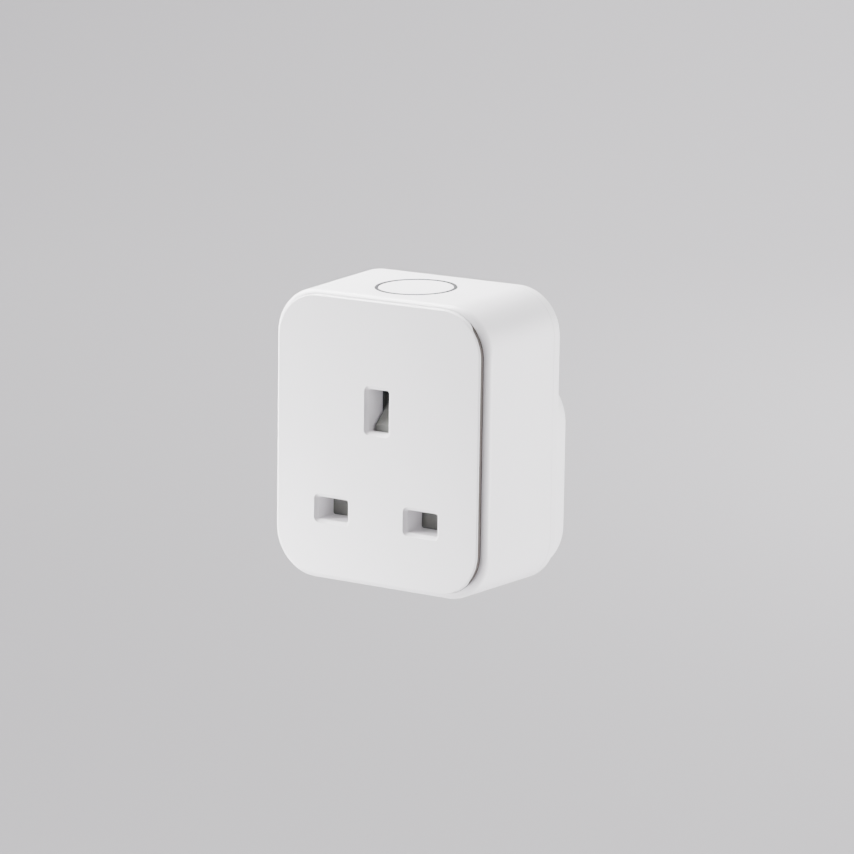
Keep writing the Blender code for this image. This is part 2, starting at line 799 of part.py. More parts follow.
def make_button_board():
    """The small board under the button, with its push switch and its light."""
    low = (-10.6, -29.0, BUTTON_BOARD_Z)
    board = box("button_board", low, (10.6, -15.0, BUTTON_BOARD_Z + BOARD_THICK))
    finish(board, board_laminate())
    top = BUTTON_BOARD_Z + BOARD_THICK + GAP
    stem_z = body_top(BUTTON_Y) - STEM_LENGTH
    case_top = stem_z - 2.0
    case_low = (-3.0, BUTTON_Y - 3.0, top)
    switch = box("tact_switch_body", case_low, (3.0, BUTTON_Y + 3.0, case_top))
    cut(switch, cylinder("plunger_well", (0.0, BUTTON_Y, case_top), 2.0, 2.4))
    finish(switch, dark_plastic())
    bottom = -2.6
    profile = [(0.0, -0.35), (1.5, -0.35), (1.7, -0.55), (1.7, bottom), (0.0, bottom)]
    turned("tact_plunger", profile, (0.0, BUTTON_Y, stem_z), dark_plastic())
    led = box("status_led", (8.0, BUTTON_Y - 1.4, top), (9.9, BUTTON_Y + 1.4, top + 1.3))
    finish(soften(led, 0.2, 1), clear_diffuser())
    link = box("board_connector", (-5.0, -17.4, PARTS_Z), (5.0, -15.2, BUTTON_BOARD_Z - GAP))
    finish(soften(link, 0.2, 1), dark_plastic())


def make_main_board():
    low = (-22.6, -30.6, BOARD_Z)
    board = box("main_board", low, (22.6, -10.0, BOARD_Z + BOARD_THICK))
    finish(board, board_laminate())


def make_relay_case():
    base_low = (RELAY_X[0], RELAY_Y[0], PARTS_Z)
    base_high = (RELAY_X[1], RELAY_Y[1], PARTS_Z + RELAY_BASE)
    finish(box("relay_base", base_low, base_high), dark_plastic())
    case_z = PARTS_Z + RELAY_BASE + GAP
    case_low = (RELAY_X[0], RELAY_Y[0], case_z)
    case = box("relay_case", case_low, (RELAY_X[1], RELAY_Y[1], RELAY_TOP))
    soften(case, 0.4)
    inner_low = (RELAY_X[0] + RELAY_WALL, RELAY_Y[0] + RELAY_WALL, case_z - REACH)
    inner_high = (RELAY_X[1] - RELAY_WALL, RELAY_Y[1] - RELAY_WALL, RELAY_TOP - RELAY_WALL)
    cut(case, box("inside", inner_low, inner_high))
    finish(case, blue_plastic())


def make_relay_coil():
    centre = (COIL_X, -23.0, COIL_Z)
    half = 4.9
    cheek = half - 0.6
    bobbin = [
        (2.7, half),
        (2.7, cheek),
        (1.9, cheek),
        (1.9, -cheek),
        (2.7, -cheek),
        (2.7, -half),
        (1.5, -half),
        (1.5, half),
    ]
    turned("relay_bobbin", bobbin, centre, white_plastic(), axis="Y", closed=True)
    wound = cheek - GAP
    winding = [(2.6, wound), (2.6, -wound), (2.2, -wound), (2.2, wound)]
    turned("relay_winding", winding, centre, winding_copper(), axis="Y", closed=True)
    low = (COIL_X - 2.6, -29.2, 21.4)
    yoke = box("relay_yoke", low, (COIL_X + 2.6, -28.4, 28.0))
    arm_low = (COIL_X - 2.5, -29.1, HINGE_Z - 0.05)
    join(yoke, box("top_arm", arm_low, (COIL_X + 2.5, ARMATURE_Y - GAP, HINGE_Z + 0.65)))
    join(yoke, bar_y("core", COIL_X, COIL_Z, 1.2, -28.8, ARMATURE_Y - 3 * GAP, 20))
    finish(yoke, bright_steel())


def make_relay_armature():
    """The hinged armature with its contact blade, and the fixed contact."""
    hinge = (COIL_X, ARMATURE_Y, HINGE_Z)
    low = (COIL_X - 2.4, ARMATURE_Y, 21.7)
    armature = box("relay_armature", low, (COIL_X + 2.4, ARMATURE_Y + 0.7, HINGE_Z))
    set_origin(armature, hinge)
    finish(armature, bright_steel())
    blade_y = ARMATURE_Y + 1.0
    blade_z = (21.9, 24.4)
    blade_low = (-21.4, blade_y, blade_z[0])
    blade = box("relay_blade", blade_low, (COIL_X + 1.0, blade_y + 0.35, blade_z[1]))
    rivet_z = sum(blade_z) / 2 - 0.05
    rivet = bar_y("rivet", -20.6, rivet_z, 0.7, ARMATURE_Y - 0.1, blade_y + 0.2, 16)
    join(blade, rivet)
    set_origin(blade, hinge)
    finish(blade, contact_copper())
    post_low = (-21.5, ARMATURE_Y - 1.7, 21.3)
    post = box("relay_fixed_contact", post_low, (-19.9, ARMATURE_Y - 1.1, blade_z[1]))
    join(post, bar_y("rivet", -20.7, rivet_z, 0.65, ARMATURE_Y - 1.4, ARMATURE_Y - 0.85, 16))
    finish(post, silver_contact())


def can(name, x, y, radius, height, surface):
    """An electrolytic capacitor: a can with a rolled groove near its base."""
    profile = [
        (0.0, height),
        (radius - 0.4, height),
        (radius, height - 0.4),
        (radius, 1.8),
        (radius - 0.3, 1.5),
        (radius, 1.2),
        (radius, 0.0),
        (0.0, 0.0),
    ]
    turned(name, profile, (x, y, PARTS_Z), surface)


def make_components():
    film = box("film_capacitor", (17.6, -30.2, PARTS_Z), (22.4, -18.2, 27.4))
    finish(soften(film, 0.4), component_yellow())
    can("capacitor_1", 14.0, -26.8, 3.1, 9.2, dark_plastic())
    can("capacitor_2", 14.0, -19.9, 3.1, 9.2, dark_plastic())
    varistor = [(0.0, 1.5), (2.6, 1.5), (3.4, 1.0), (3.4, -1.0), (2.6, -1.5), (0.0, -1.5)]
    turned("varistor", varistor, (18.6, -14.3, PARTS_Z + 3.4), blue_plastic(), axis="Y")
    half = [(0.0, 3.6), (1.1, 3.6), (1.4, 3.2), (1.2, 2.6)]
    resistor = half + [(radius, -height) for radius, height in reversed(half)]
    place = (-5.8, -28.8, PARTS_Z + 1.4)
    turned("fusible_resistor", resistor, place, component_yellow(), axis="X")
    half = [(0.0, 1.6), (2.8, 1.6), (2.8, 0.9), (2.2, 0.9)]
    drum = half + [(radius, -height) for radius, height in reversed(half)]
    turned("power_inductor", drum, (-6.0, -22.6, PARTS_Z + 1.6), grey_plastic())
    chip = box("converter_chip", (0.4, -24.6, PARTS_Z), (5.4, -20.6, PARTS_Z + 1.6))
    finish(soften(chip, 0.2, 1), dark_plastic())
    rectifier = box("rectifier", (2.0, -30.0, PARTS_Z), (6.8, -26.2, PARTS_Z + 1.6))
    finish(soften(rectifier, 0.2, 1), dark_plastic())


def make_radio():
    board = box("radio_board", (-8.4, -10.9, PARTS_Z), (8.4, -10.1, 30.5))
    finish(board, board_laminate())
    shield = box("radio_shield", (-5.5, -13.4, 20.6), (5.5, -11.2, 27.2))
    soften(shield, 0.3, 2)
    cut(shield, box("inside", (-5.1, -13.0, 21.0), (5.1, -11.2 + REACH, 26.8)))
    finish(shield, bright_steel())


def main():
    make_front_plate()
    make_main_housing()
    make_rear_cover()
    make_case_screws()
    make_pins()
    make_sleeves()
    make_pin_clamp()
    make_socket_carrier()
    make_contacts()
    make_busbars()
    make_shutter()
    make_shutter_spring()
    make_button()
    make_light_ring()
    make_button_board()
    make_main_board()
    make_relay_case()
    make_relay_coil()
    make_relay_armature()
    make_components()
    make_radio()


main()
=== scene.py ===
"""Smart plug: the fine surfaces, materials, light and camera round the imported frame.

Lengths are in millimetres here and turned into metres by the helpers.
"""
import json
import math

import bmesh
import bpy
from mathutils import Matrix, Vector


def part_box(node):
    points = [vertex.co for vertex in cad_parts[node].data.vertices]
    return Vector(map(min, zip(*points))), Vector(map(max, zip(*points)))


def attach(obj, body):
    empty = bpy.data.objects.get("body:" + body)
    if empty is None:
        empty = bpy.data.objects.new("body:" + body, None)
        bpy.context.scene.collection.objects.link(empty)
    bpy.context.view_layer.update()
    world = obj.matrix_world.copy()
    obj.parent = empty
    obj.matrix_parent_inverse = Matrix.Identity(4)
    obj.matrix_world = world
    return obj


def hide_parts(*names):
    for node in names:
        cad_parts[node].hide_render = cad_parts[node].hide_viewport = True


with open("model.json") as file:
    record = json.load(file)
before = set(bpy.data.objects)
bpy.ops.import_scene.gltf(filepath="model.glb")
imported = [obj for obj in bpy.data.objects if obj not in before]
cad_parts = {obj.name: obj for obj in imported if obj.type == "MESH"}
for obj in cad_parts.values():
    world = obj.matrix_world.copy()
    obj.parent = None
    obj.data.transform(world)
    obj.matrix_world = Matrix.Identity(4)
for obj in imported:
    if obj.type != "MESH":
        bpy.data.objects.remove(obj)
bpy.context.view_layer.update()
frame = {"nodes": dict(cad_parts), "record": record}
MM = 0.001


def node_box(node):
    """Lowest and highest corner of a CAD node, in millimetres."""
    low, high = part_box(node)
    return Vector(low) / MM, Vector(high) / MM


PLATE_LOW, PLATE_HIGH = node_box("front_plate")
HOUSING_LOW = node_box("main_housing")[0]
COVER_LOW, COVER_HIGH = node_box("rear_cover")
LINE_PIN_LOW, LINE_PIN_HIGH = node_box("line_pin")
EARTH_PIN_LOW, EARTH_PIN_HIGH = node_box("earth_pin")

# Depth stations
FACE_Y = PLATE_LOW.y
BODY_FRONT = HOUSING_LOW.y
SEAM_Y = -9.8
BODY_REAR = -7.0
BODY_DEPTH = BODY_REAR - BODY_FRONT
RECESS_Y = BODY_FRONT + 1.2
FRONT_WALL_Y = BODY_FRONT + 3.0
COVER_WALL_Y = -9.0
PLATE_BACK_Y = RECESS_Y - 0.3
COLLAR_START_Y = FACE_Y + 1.2
COLLAR_END_Y = -29.3
HOOD_END_Y = -29.6
HOOD_LOW_Z = 5.8

# Outlines seen from the front: width, height, corner radius, centre height
PLATE = (
    PLATE_HIGH.x - PLATE_LOW.x,
    PLATE_HIGH.z - PLATE_LOW.z,
    9.5,
    (PLATE_HIGH.z + PLATE_LOW.z) / 2,
)
BODY_AT_REAR = (
    COVER_HIGH.x - COVER_LOW.x,
    COVER_HIGH.z - COVER_LOW.z,
    10.0,
    (COVER_HIGH.z + COVER_LOW.z) / 2,
)
BODY_AT_FRONT = (52.96, 61.6, 10.0, 4.2)
BOSS = (49.4, 44.0, 11.0, -5.0)

# Walls, edge radii, seams and the groove round the plate
WALL = 2.0
COVER_WALL = 3.5
BOSS_WALL = 2.2
BODY_EDGE = 1.5
REAR_EDGE = 1.0
PLATE_EDGE = 0.3
SEAM = 0.05
SIDE_GROOVE = 0.15
END_GROOVE = 0.08
GROOVE_EASE = 0.1
CORNER_STEPS = 24
SMALL_CORNER_STEPS = 8
EDGE_STEPS = 8

# Painted shade, a dark strip in the groove beside the plate: thickness, its hold in the plate, its
# set-back, and where each end fades and stops, as shares of the plate's corner radius short of its top and
# bottom
SHADE_STRIP_THICK = 0.06
SHADE_STRIP_HOLD = 0.01
SHADE_STRIP_SETBACK = 0.02
SHADE_STRIP_FADE = 0.4
SHADE_STRIP_STOP = 0.1
SHADE_STRIP_TAPER = 0.9

# Apertures and pins
LINE_X = (LINE_PIN_LOW.x + LINE_PIN_HIGH.x) / 2
LINE_Z = (LINE_PIN_LOW.z + LINE_PIN_HIGH.z) / 2
EARTH_Z = (EARTH_PIN_LOW.z + EARTH_PIN_HIGH.z) / 2
EARTH_SLOT = (5.0, 9.05)
LINE_SLOT = (7.4, 4.8)
SLOT_BEVEL = 0.8
SLOT_EASE = 0.2
EASE_STEPS = 4
SLOT_CORNER = 0.45
COLLAR_WALL = 1.2
COLLAR_CORNER = 1.2
WINDOW_CORNER = 1.4
WEDGE_WINDOW = (7.9, 0.3, 17.15)
LINE_PIN = (6.35, 3.97)
EARTH_PIN = (3.95, 7.92)
PIN_HOLE_CORNER = 0.6
PIN_HOLE_STEPS = 6
FIT = 0.3
REACH = 1.0

# Button and light ring: radii, and heights from the top face
BUTTON_Y = -21.3
BUTTON_RADIUS = 7.9
BUTTON_EDGE = 0.12
BUTTON_HOLE = 8.7
BUTTON_HOLE_DEPTH = 1.15
BUTTON_SKIRT = (8.9, -3.1, -4.0)
BUTTON_INSIDE = (7.0, -1.6)
BUTTON_STEM = (1.5, -5.0)
RING_SPACE = 10.0
RING_SPACE_DEPTHS = (-1.0, -4.0)
RING_RADII = (7.93, 8.67)
RING_SHOULDER = -0.03
RING_CROWN = 0.1
RING_SLOPE = 0.1
RING_FLANGE = (9.7, -1.3, -2.8)
ROUND_STEPS = 128

# Case screws
SCREW_X = 19.6
SCREW_ZS = (9.4, -18.8)
COLUMN_RADIUS = 4.0
COLUMN_END_Y = -1.1
SCREW_RECESS_RADIUS = 2.8
SCREW_RECESS_Y = -3.0
SCREW_HOLE_RADIUS = 1.8

# Camera, measured from the middle of the pin pattern on the front face
CAMERA_AZIMUTH = 32.70
CAMERA_ELEVATION = 11.43
CAMERA_ROLL = 0.81
CAMERA_ACROSS = 10.51
CAMERA_UP = 7.82
CAMERA_DISTANCE = 829.2
CAMERA_LENS = 168.6

# Floor height, then the floor's flat reach, its sweep's radius and the wall above it in metres
FLOOR_Z = -400.0
FLOOR_REACH = 2.8
SWEEP = 1.3
SWEEP_STEPS = 16
WALL_RISE = 0.4
WALL_GLOW = 0.33
FLOOR_TURN_STEPS = 96
FLOOR_PALE = (0.465, 0.451, 0.471)


# ---------------------------------------------------------------- shapes

def mesh_object(name, bm):
    bmesh.ops.recalc_face_normals(bm, faces=bm.faces)
    mesh = bpy.data.meshes.new(name)
    bm.to_mesh(mesh)
    bm.free()
    obj = bpy.data.objects.new(name, mesh)
    bpy.context.scene.collection.objects.link(obj)
    return obj


def box(name, low, high):
    bm = bmesh.new()
    bmesh.ops.create_cube(bm, size=1.0)
    size = Vector(high) - Vector(low)
    middle = (Vector(high) + Vector(low)) / 2
    bmesh.ops.scale(bm, vec=size * MM, verts=bm.verts)
    bmesh.ops.translate(bm, vec=middle * MM, verts=bm.verts)
    return mesh_object(name, bm)


def bar_y(name, x, z, radius, y_low, y_high, segments=48):
    """A round bar along the depth."""
    bm = bmesh.new()
    length = (y_high - y_low) * MM
    bmesh.ops.create_cone(
        bm, cap_ends=True, segments=segments, radius1=radius * MM, radius2=radius * MM, depth=length
    )
    middle = Vector((x, (y_low + y_high) / 2, z)) * MM
    place = Matrix.Translation(middle) @ Matrix.Rotation(math.pi / 2, 4, "X")
    bmesh.ops.transform(bm, matrix=place, verts=bm.verts)
    return mesh_object(name, bm)


def rounded_rect(width, height, radius, centre_z=0.0, centre_x=0.0, steps=CORNER_STEPS):
    """Outline points of a rectangle with round corners, anticlockwise."""
    points = []
    for quarter, (sign_x, sign_z) in enumerate(((1, 1), (-1, 1), (-1, -1), (1, -1))):
        corner_x = centre_x + sign_x * (width / 2 - radius)
        corner_z = centre_z + sign_z * (height / 2 - radius)
        for step in range(steps + 1):
            angle = (quarter + step / steps) * math.pi / 2
            points.append((corner_x + radius * math.cos(angle), corner_z + radius * math.sin(angle)))
    return points


def inset_rect(outline, inset, steps=CORNER_STEPS):
    width, height, radius, centre_z = outline
    return rounded_rect(width - 2 * inset, height - 2 * inset, radius - inset, centre_z, steps=steps)


def spin(bm, geometry, steps):
    """Turn vertices and edges right round the vertical axis."""
    turn = 2 * math.pi
    bmesh.ops.spin(
        bm, geom=geometry, cent=(0, 0, 0), axis=(0, 0, 1), angle=turn, steps=steps, use_merge=True
    )


def loft(name, sections):
    """A closed solid through outlines at the given depths."""
    bm = bmesh.new()
    rings = []
    for depth, outline in sections:
        rings.append([bm.verts.new((x * MM, depth * MM, z * MM)) for x, z in outline])
    count = len(rings[0])
    for near, far in zip(rings, rings[1:]):
        for i in range(count):
            j = (i + 1) % count
            bm.faces.new((near[i], near[j], far[j], far[i]))
    bm.faces.new(rings[0])
    bm.faces.new(list(reversed(rings[-1])))
    return mesh_object(name, bm)


def quarter_round(radius):
    """Depth and inset of points along a rounded edge, from the end face outwards."""
    angles = [math.pi / 2 * (EDGE_STEPS - step) / EDGE_STEPS for step in range(EDGE_STEPS + 1)]
    return [(radius * (1 - math.sin(a)), radius * (1 - math.cos(a))) for a in angles]


def boolean(target, tool, operation):
    """Join or cut the target with a helper solid, and drop the helper."""
    step = target.modifiers.new(operation.lower(), "BOOLEAN")
    step.operation = operation
    step.object = tool
    step.solver = "EXACT"
    evaluated = target.evaluated_get(bpy.context.evaluated_depsgraph_get())
    mesh = bpy.data.meshes.new_from_object(evaluated)
    target.modifiers.clear()
    target.data = mesh
    bpy.data.objects.remove(tool)


def cut(target, tool):
    boolean(target, tool, "DIFFERENCE")


def join(target, tool):
    boolean(target, tool, "UNION")


def finish(obj, surface, slot, body, *nodes):
    """Shade the piece, give it its material, and let it stand for its CAD nodes."""
    obj.data.materials.clear()
    obj.data.materials.append(surface)
    obj.data.shade_smooth()
    obj.data.set_sharp_from_angle(angle=math.radians(30))
    weighted = obj.modifiers.new("normals", "WEIGHTED_NORMAL")
    weighted.keep_sharp = True
    if nodes:
        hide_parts(*nodes)
    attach(obj, body)
    return obj


def body_rect(depth):
    """Outline sizes of the body at a depth, between its front and rear faces."""
    share = (depth - BODY_FRONT) / BODY_DEPTH
    return tuple(a + (b - a) * share for a, b in zip(BODY_AT_FRONT, BODY_AT_REAR))


def body_top(depth):
    width, height, radius, centre_z = body_rect(depth)
    return centre_z + height / 2


def button_frame():
    """Where the button sits: its centre on the top face, tilted with that face."""
    rise = body_top(BODY_REAR) - body_top(BODY_FRONT)
    centre = Vector((0.0, BUTTON_Y, body_top(BUTTON_Y))) * MM
    return Matrix.Translation(centre) @ Matrix.Rotation(math.atan2(rise, BODY_DEPTH), 4, "X")


# ---------------------------------------------------------------- materials

def new_material(name):
    """A material with its shader and object-space texture coordinates, ready to be wired."""
    made = bpy.data.materials.new(name)
    made.use_nodes = True
    nodes = made.node_tree.nodes
    links = made.node_tree.links
    shader = nodes["Principled BSDF"]
    coordinates = nodes.new("ShaderNodeTexCoord")
    return made, nodes, links, shader, coordinates


def noise(nodes, links, coordinates, scale, detail=4.0, stretch=(1.0, 1.0, 1.0)):
    mapping = nodes.new("ShaderNodeMapping")
    mapping.inputs["Scale"].default_value = stretch
    links.new(coordinates.outputs["Object"], mapping.inputs["Vector"])
    texture = nodes.new("ShaderNodeTexNoise")
    texture.inputs["Scale"].default_value = scale
    texture.inputs["Detail"].default_value = detail
    links.new(mapping.outputs["Vector"], texture.inputs["Vector"])
    return texture


def vary_colour(nodes, links, texture, shader, dark, light):
    ramp = nodes.new("ShaderNodeValToRGB")
    ramp.color_ramp.elements[0].position = 0.3
    ramp.color_ramp.elements[0].color = (*dark, 1.0)
    ramp.color_ramp.elements[1].position = 0.7
    ramp.color_ramp.elements[1].color = (*light, 1.0)
    links.new(texture.outputs["Fac"], ramp.inputs["Fac"])
    links.new(ramp.outputs["Color"], shader.inputs["Base Color"])


def vary_roughness(nodes, links, texture, shader, low, high):
    spread = nodes.new("ShaderNodeMapRange")
    spread.inputs["To Min"].default_value = low
    spread.inputs["To Max"].default_value = high
    links.new(texture.outputs["Fac"], spread.inputs["Value"])
    links.new(spread.outputs["Result"], shader.inputs["Roughness"])


def add_grain(nodes, links, texture, shader, distance, strength):
    bump = nodes.new("ShaderNodeBump")
    bump.inputs["Distance"].default_value = distance * MM
    bump.inputs["Strength"].default_value = strength
    links.new(texture.outputs["Fac"], bump.inputs["Height"])
    links.new(bump.outputs["Normal"], shader.inputs["Normal"])


def plastic(name, colour, roughness, spread=0.015, grain=0.01, specular=0.5):
    """Moulded plastic: a slow change of tone and a fine spark-eroded grain."""
    made, nodes, links, shader, coordinates = new_material(name)
    dark = tuple(c * (1 - spread) for c in colour)
    light = tuple(min(c * (1 + spread), 1.0) for c in colour)
    vary_colour(nodes, links, noise(nodes, links, coordinates, 60.0), shader, dark, light)
    fine = noise(nodes, links, coordinates, 4000.0, 2.0)
    vary_roughness(nodes, links, fine, shader, roughness - 0.03, roughness + 0.03)
    add_grain(nodes, links, fine, shader, grain, 0.25)
    shader.inputs["Specular IOR Level"].default_value = specular
    return made


def metal(name, colour, roughness, stretch=(1.0, 1.0, 1.0)):
    """Bare or plated metal with faint drawing marks."""
    made, nodes, links, shader, coordinates = new_material(name)
    shader.inputs["Metallic"].default_value = 1.0
    dark = tuple(c * 0.92 for c in colour)
    marks = noise(nodes, links, coordinates, 900.0, 6.0, stretch)
    vary_colour(nodes, links, noise(nodes, links, coordinates, 150.0), shader, dark, colour)
    vary_roughness(nodes, links, marks, shader, roughness - 0.06, roughness + 0.08)
    add_grain(nodes, links, marks, shader, 0.005, 0.3)
    return made


def laminate(name, colour):
    """Circuit board: glass cloth under solder mask."""
    made, nodes, links, shader, coordinates = new_material(name)
    weave = nodes.new("ShaderNodeTexChecker")
    weave.inputs["Scale"].default_value = 2500.0
    weave.inputs["Color1"].default_value = (*colour, 1.0)
    weave.inputs["Color2"].default_value = (*(c * 0.85 for c in colour), 1.0)
    links.new(coordinates.outputs["Object"], weave.inputs["Vector"])
    links.new(weave.outputs["Color"], shader.inputs["Base Color"])
    vary_roughness(nodes, links, noise(nodes, links, coordinates, 500.0), shader, 0.35, 0.5)
    return made


WHITE = plastic("white_case_plastic", (0.80, 0.783, 0.803), 0.42)
RING_DARK = plastic("ring_guide", (0.055, 0.055, 0.058), 0.8, specular=0.1)
# Dark colour of the painted shade strip beside the plate
PAINTED_SHADE_DARK = plastic("painted_shade_strip_dark", (0.075, 0.064, 0.06), 0.7, specular=0.2)
MATERIALS = {
    "shell_white": WHITE,
    "inner_grey": plastic("carrier_plastic", (0.24, 0.25, 0.24), 0.55),
    "shutter_grey": plastic("shutter_plastic", (0.21, 0.215, 0.198), 0.55),
    "black_plastic": plastic("black_plastic", (0.02, 0.02, 0.022), 0.42),
    "blue_plastic": plastic("blue_plastic", (0.02, 0.08, 0.35), 0.3),
    "diffuser": plastic("light_diffuser", (0.62, 0.63, 0.65), 0.35),
    "pin_brass": metal("pin_brass", (0.78, 0.60, 0.30), 0.25, (1.0, 0.1, 1.0)),
    "contact_metal": metal("contact_copper", (0.80, 0.45, 0.27), 0.32),
    "coil_wire": metal("coil_wire", (0.60, 0.25, 0.10), 0.35, (0.2, 3.0, 0.2)),
    "steel": metal("plated_steel", (0.62, 0.62, 0.60), 0.3),
    "silver": metal("silver_contact", (0.85, 0.84, 0.80), 0.22),
    "board_green": laminate("board_laminate", (0.01, 0.14, 0.05)),
    "component_yellow": plastic("component_yellow", (0.70, 0.45, 0.03), 0.35),
}


def dress_frame():
    """Give every CAD node the material of its slot."""
    for entry in frame["record"]["subparts"]:
        node = frame["nodes"][entry["node"]]
        node.data.materials.clear()
        node.data.materials.append(MATERIALS[entry["material_slot"]])


# ---------------------------------------------------------------- case

def mouth_profile():
    """Depth and spread along an aperture's chamfered mouth, eased at both ends."""
    eased = []
    for step in range(EASE_STEPS + 1):
        share = step / EASE_STEPS
        eased.append((SLOT_EASE * share ** 2, SLOT_BEVEL - SLOT_EASE * share))
    return eased + [(spread, depth) for depth, spread in reversed(eased)]


def slot_cutter(size, centre_x, centre_z, end_y):
    """An aperture with a chamfered mouth, running back from the front face."""
    width, height = size
    stations = [(-REACH, SLOT_BEVEL)] + mouth_profile() + [(end_y - FACE_Y, 0.0)]
    sections = []
    for depth, spread in stations:
        corner = SLOT_CORNER + spread
        wide, high = width + 2 * spread, height + 2 * spread
        outline = rounded_rect(wide, high, corner, centre_z, centre_x, SMALL_CORNER_STEPS)
        sections.append((FACE_Y + depth, outline))
    return loft("slot_cutter", sections)


def make_plate():
    sections = [(FACE_Y + depth, inset_rect(PLATE, inset)) for depth, inset in quarter_round(PLATE_EDGE)]
    sections.append((PLATE_BACK_Y, inset_rect(PLATE, 0.0)))
    plate = loft("plate_shell", sections)
    for side in (-1, 1):
        width, height = (size + 2 * COLLAR_WALL for size in LINE_SLOT)
        collar = rounded_rect(width, height, COLLAR_CORNER, LINE_Z, side * LINE_X, SMALL_CORNER_STEPS)
        join(plate, loft("collar", [(COLLAR_START_Y, collar), (COLLAR_END_Y, collar)]))
    half = EARTH_SLOT[0] / 2
    hood_x = half + COLLAR_WALL
    hood_z = EARTH_Z + EARTH_SLOT[1] / 2 + COLLAR_WALL
    join(plate, box("hood", (-hood_x, COLLAR_START_Y, HOOD_LOW_Z), (hood_x, HOOD_END_Y, hood_z)))
    for side in (-1, 1):
        cut(plate, slot_cutter(LINE_SLOT, side * LINE_X, LINE_Z, COLLAR_END_Y + REACH))
    cut(plate, slot_cutter(EARTH_SLOT, 0.0, EARTH_Z, HOOD_END_Y + REACH))
    way_low = (-half, PLATE_BACK_Y, HOOD_LOW_Z - REACH)
    cut(plate, box("wedge_way", way_low, (half, HOOD_END_Y + REACH, EARTH_Z)))
    return finish(plate, WHITE, "shell_white", "base", "front_plate")


def make_painted_shade_strip():
    """Painted shade: dark strips in the groove on each side of the plate, standing for the shadow there.
    """
    width, height, radius, centre_z = PLATE
    outer = rounded_rect(width + 2 * SHADE_STRIP_THICK, height + 2 * SHADE_STRIP_THICK, radius + SHADE_STRIP_THICK, centre_z)
    front_y = FACE_Y + PLATE_EDGE + SHADE_STRIP_SETBACK
    shade_strip = loft("painted_shade_strip", [(front_y, outer), (RECESS_Y - SHADE_STRIP_SETBACK, outer)])
    inner = inset_rect(PLATE, -SHADE_STRIP_HOLD)
    cut(shade_strip, loft("inside", [(FACE_Y, inner), (RECESS_Y, inner)]))
    stop_z = height / 2 - SHADE_STRIP_STOP * radius
    for low_z, high_z in ((centre_z + stop_z, height), (-height, centre_z - stop_z)):
        cut(shade_strip, box("end", (-width, FACE_Y - REACH, low_z), (width, RECESS_Y + REACH, high_z)))
    fade_z = height / 2 - SHADE_STRIP_FADE * radius
    for vertex in shade_strip.data.vertices:
        beyond = abs(vertex.co.z / MM - centre_z) - fade_z
        if beyond > 0.0:
            share = min(1.0, beyond / (stop_z - fade_z))
            vertex.co.y += SHADE_STRIP_TAPER * share * (RECESS_Y * MM - vertex.co.y)
    return finish(shade_strip, PAINTED_SHADE_DARK, "black_plastic", "base")


def ring_cutter(radius, high, low):
    """A round cutter square to the sloping top face."""
    bm = bmesh.new()
    depth = (high - low) * MM
    bmesh.ops.create_cone(
        bm, cap_ends=True, segments=ROUND_STEPS, radius1=radius * MM, radius2=radius * MM, depth=depth
    )
    place = button_frame() @ Matrix.Translation((0.0, 0.0, (high + low) / 2 * MM))
    bmesh.ops.transform(bm, matrix=place, verts=bm.verts)
    return mesh_object("ring_cutter", bm)


def make_housing():
    sections = []
    for depth, inset in quarter_round(BODY_EDGE):
        sections.append((BODY_FRONT + depth, inset_rect(body_rect(BODY_FRONT + depth), inset)))
    end_y = SEAM_Y - SEAM
    sections.append((end_y, inset_rect(body_rect(end_y), 0.0)))
    housing = loft("housing_shell", sections)
    hollow = [(y, inset_rect(body_rect(y), WALL)) for y in (FRONT_WALL_Y, end_y + REACH)]
    cut(housing, loft("hollow", hollow))
    width, height, radius, centre_z = PLATE
    recess = rounded_rect(width + 2 * SIDE_GROOVE, height + 2 * END_GROOVE, radius + GROOVE_EASE, centre_z)
    cut(housing, loft("recess", [(BODY_FRONT - REACH, recess), (RECESS_Y, recess)]))
    for side in (-1, 1):
        width, height = (size + 2 * (COLLAR_WALL + FIT) for size in LINE_SLOT)
        window = rounded_rect(width, height, WINDOW_CORNER, LINE_Z, side * LINE_X, SMALL_CORNER_STEPS)
        cut(housing, loft("window", [(RECESS_Y - REACH, window), (FRONT_WALL_Y + REACH, window)]))
    width, low_z, high_z = WEDGE_WINDOW
    window_high = (width / 2, FRONT_WALL_Y + REACH, high_z)
    cut(housing, box("wedge_window", (-width / 2, RECESS_Y - REACH, low_z), window_high))
    cut(housing, ring_cutter(BUTTON_HOLE, REACH, -BUTTON_HOLE_DEPTH))
    cut(housing, ring_cutter(RING_SPACE, *RING_SPACE_DEPTHS))
    return finish(housing, WHITE, "shell_white", "base", "main_housing")


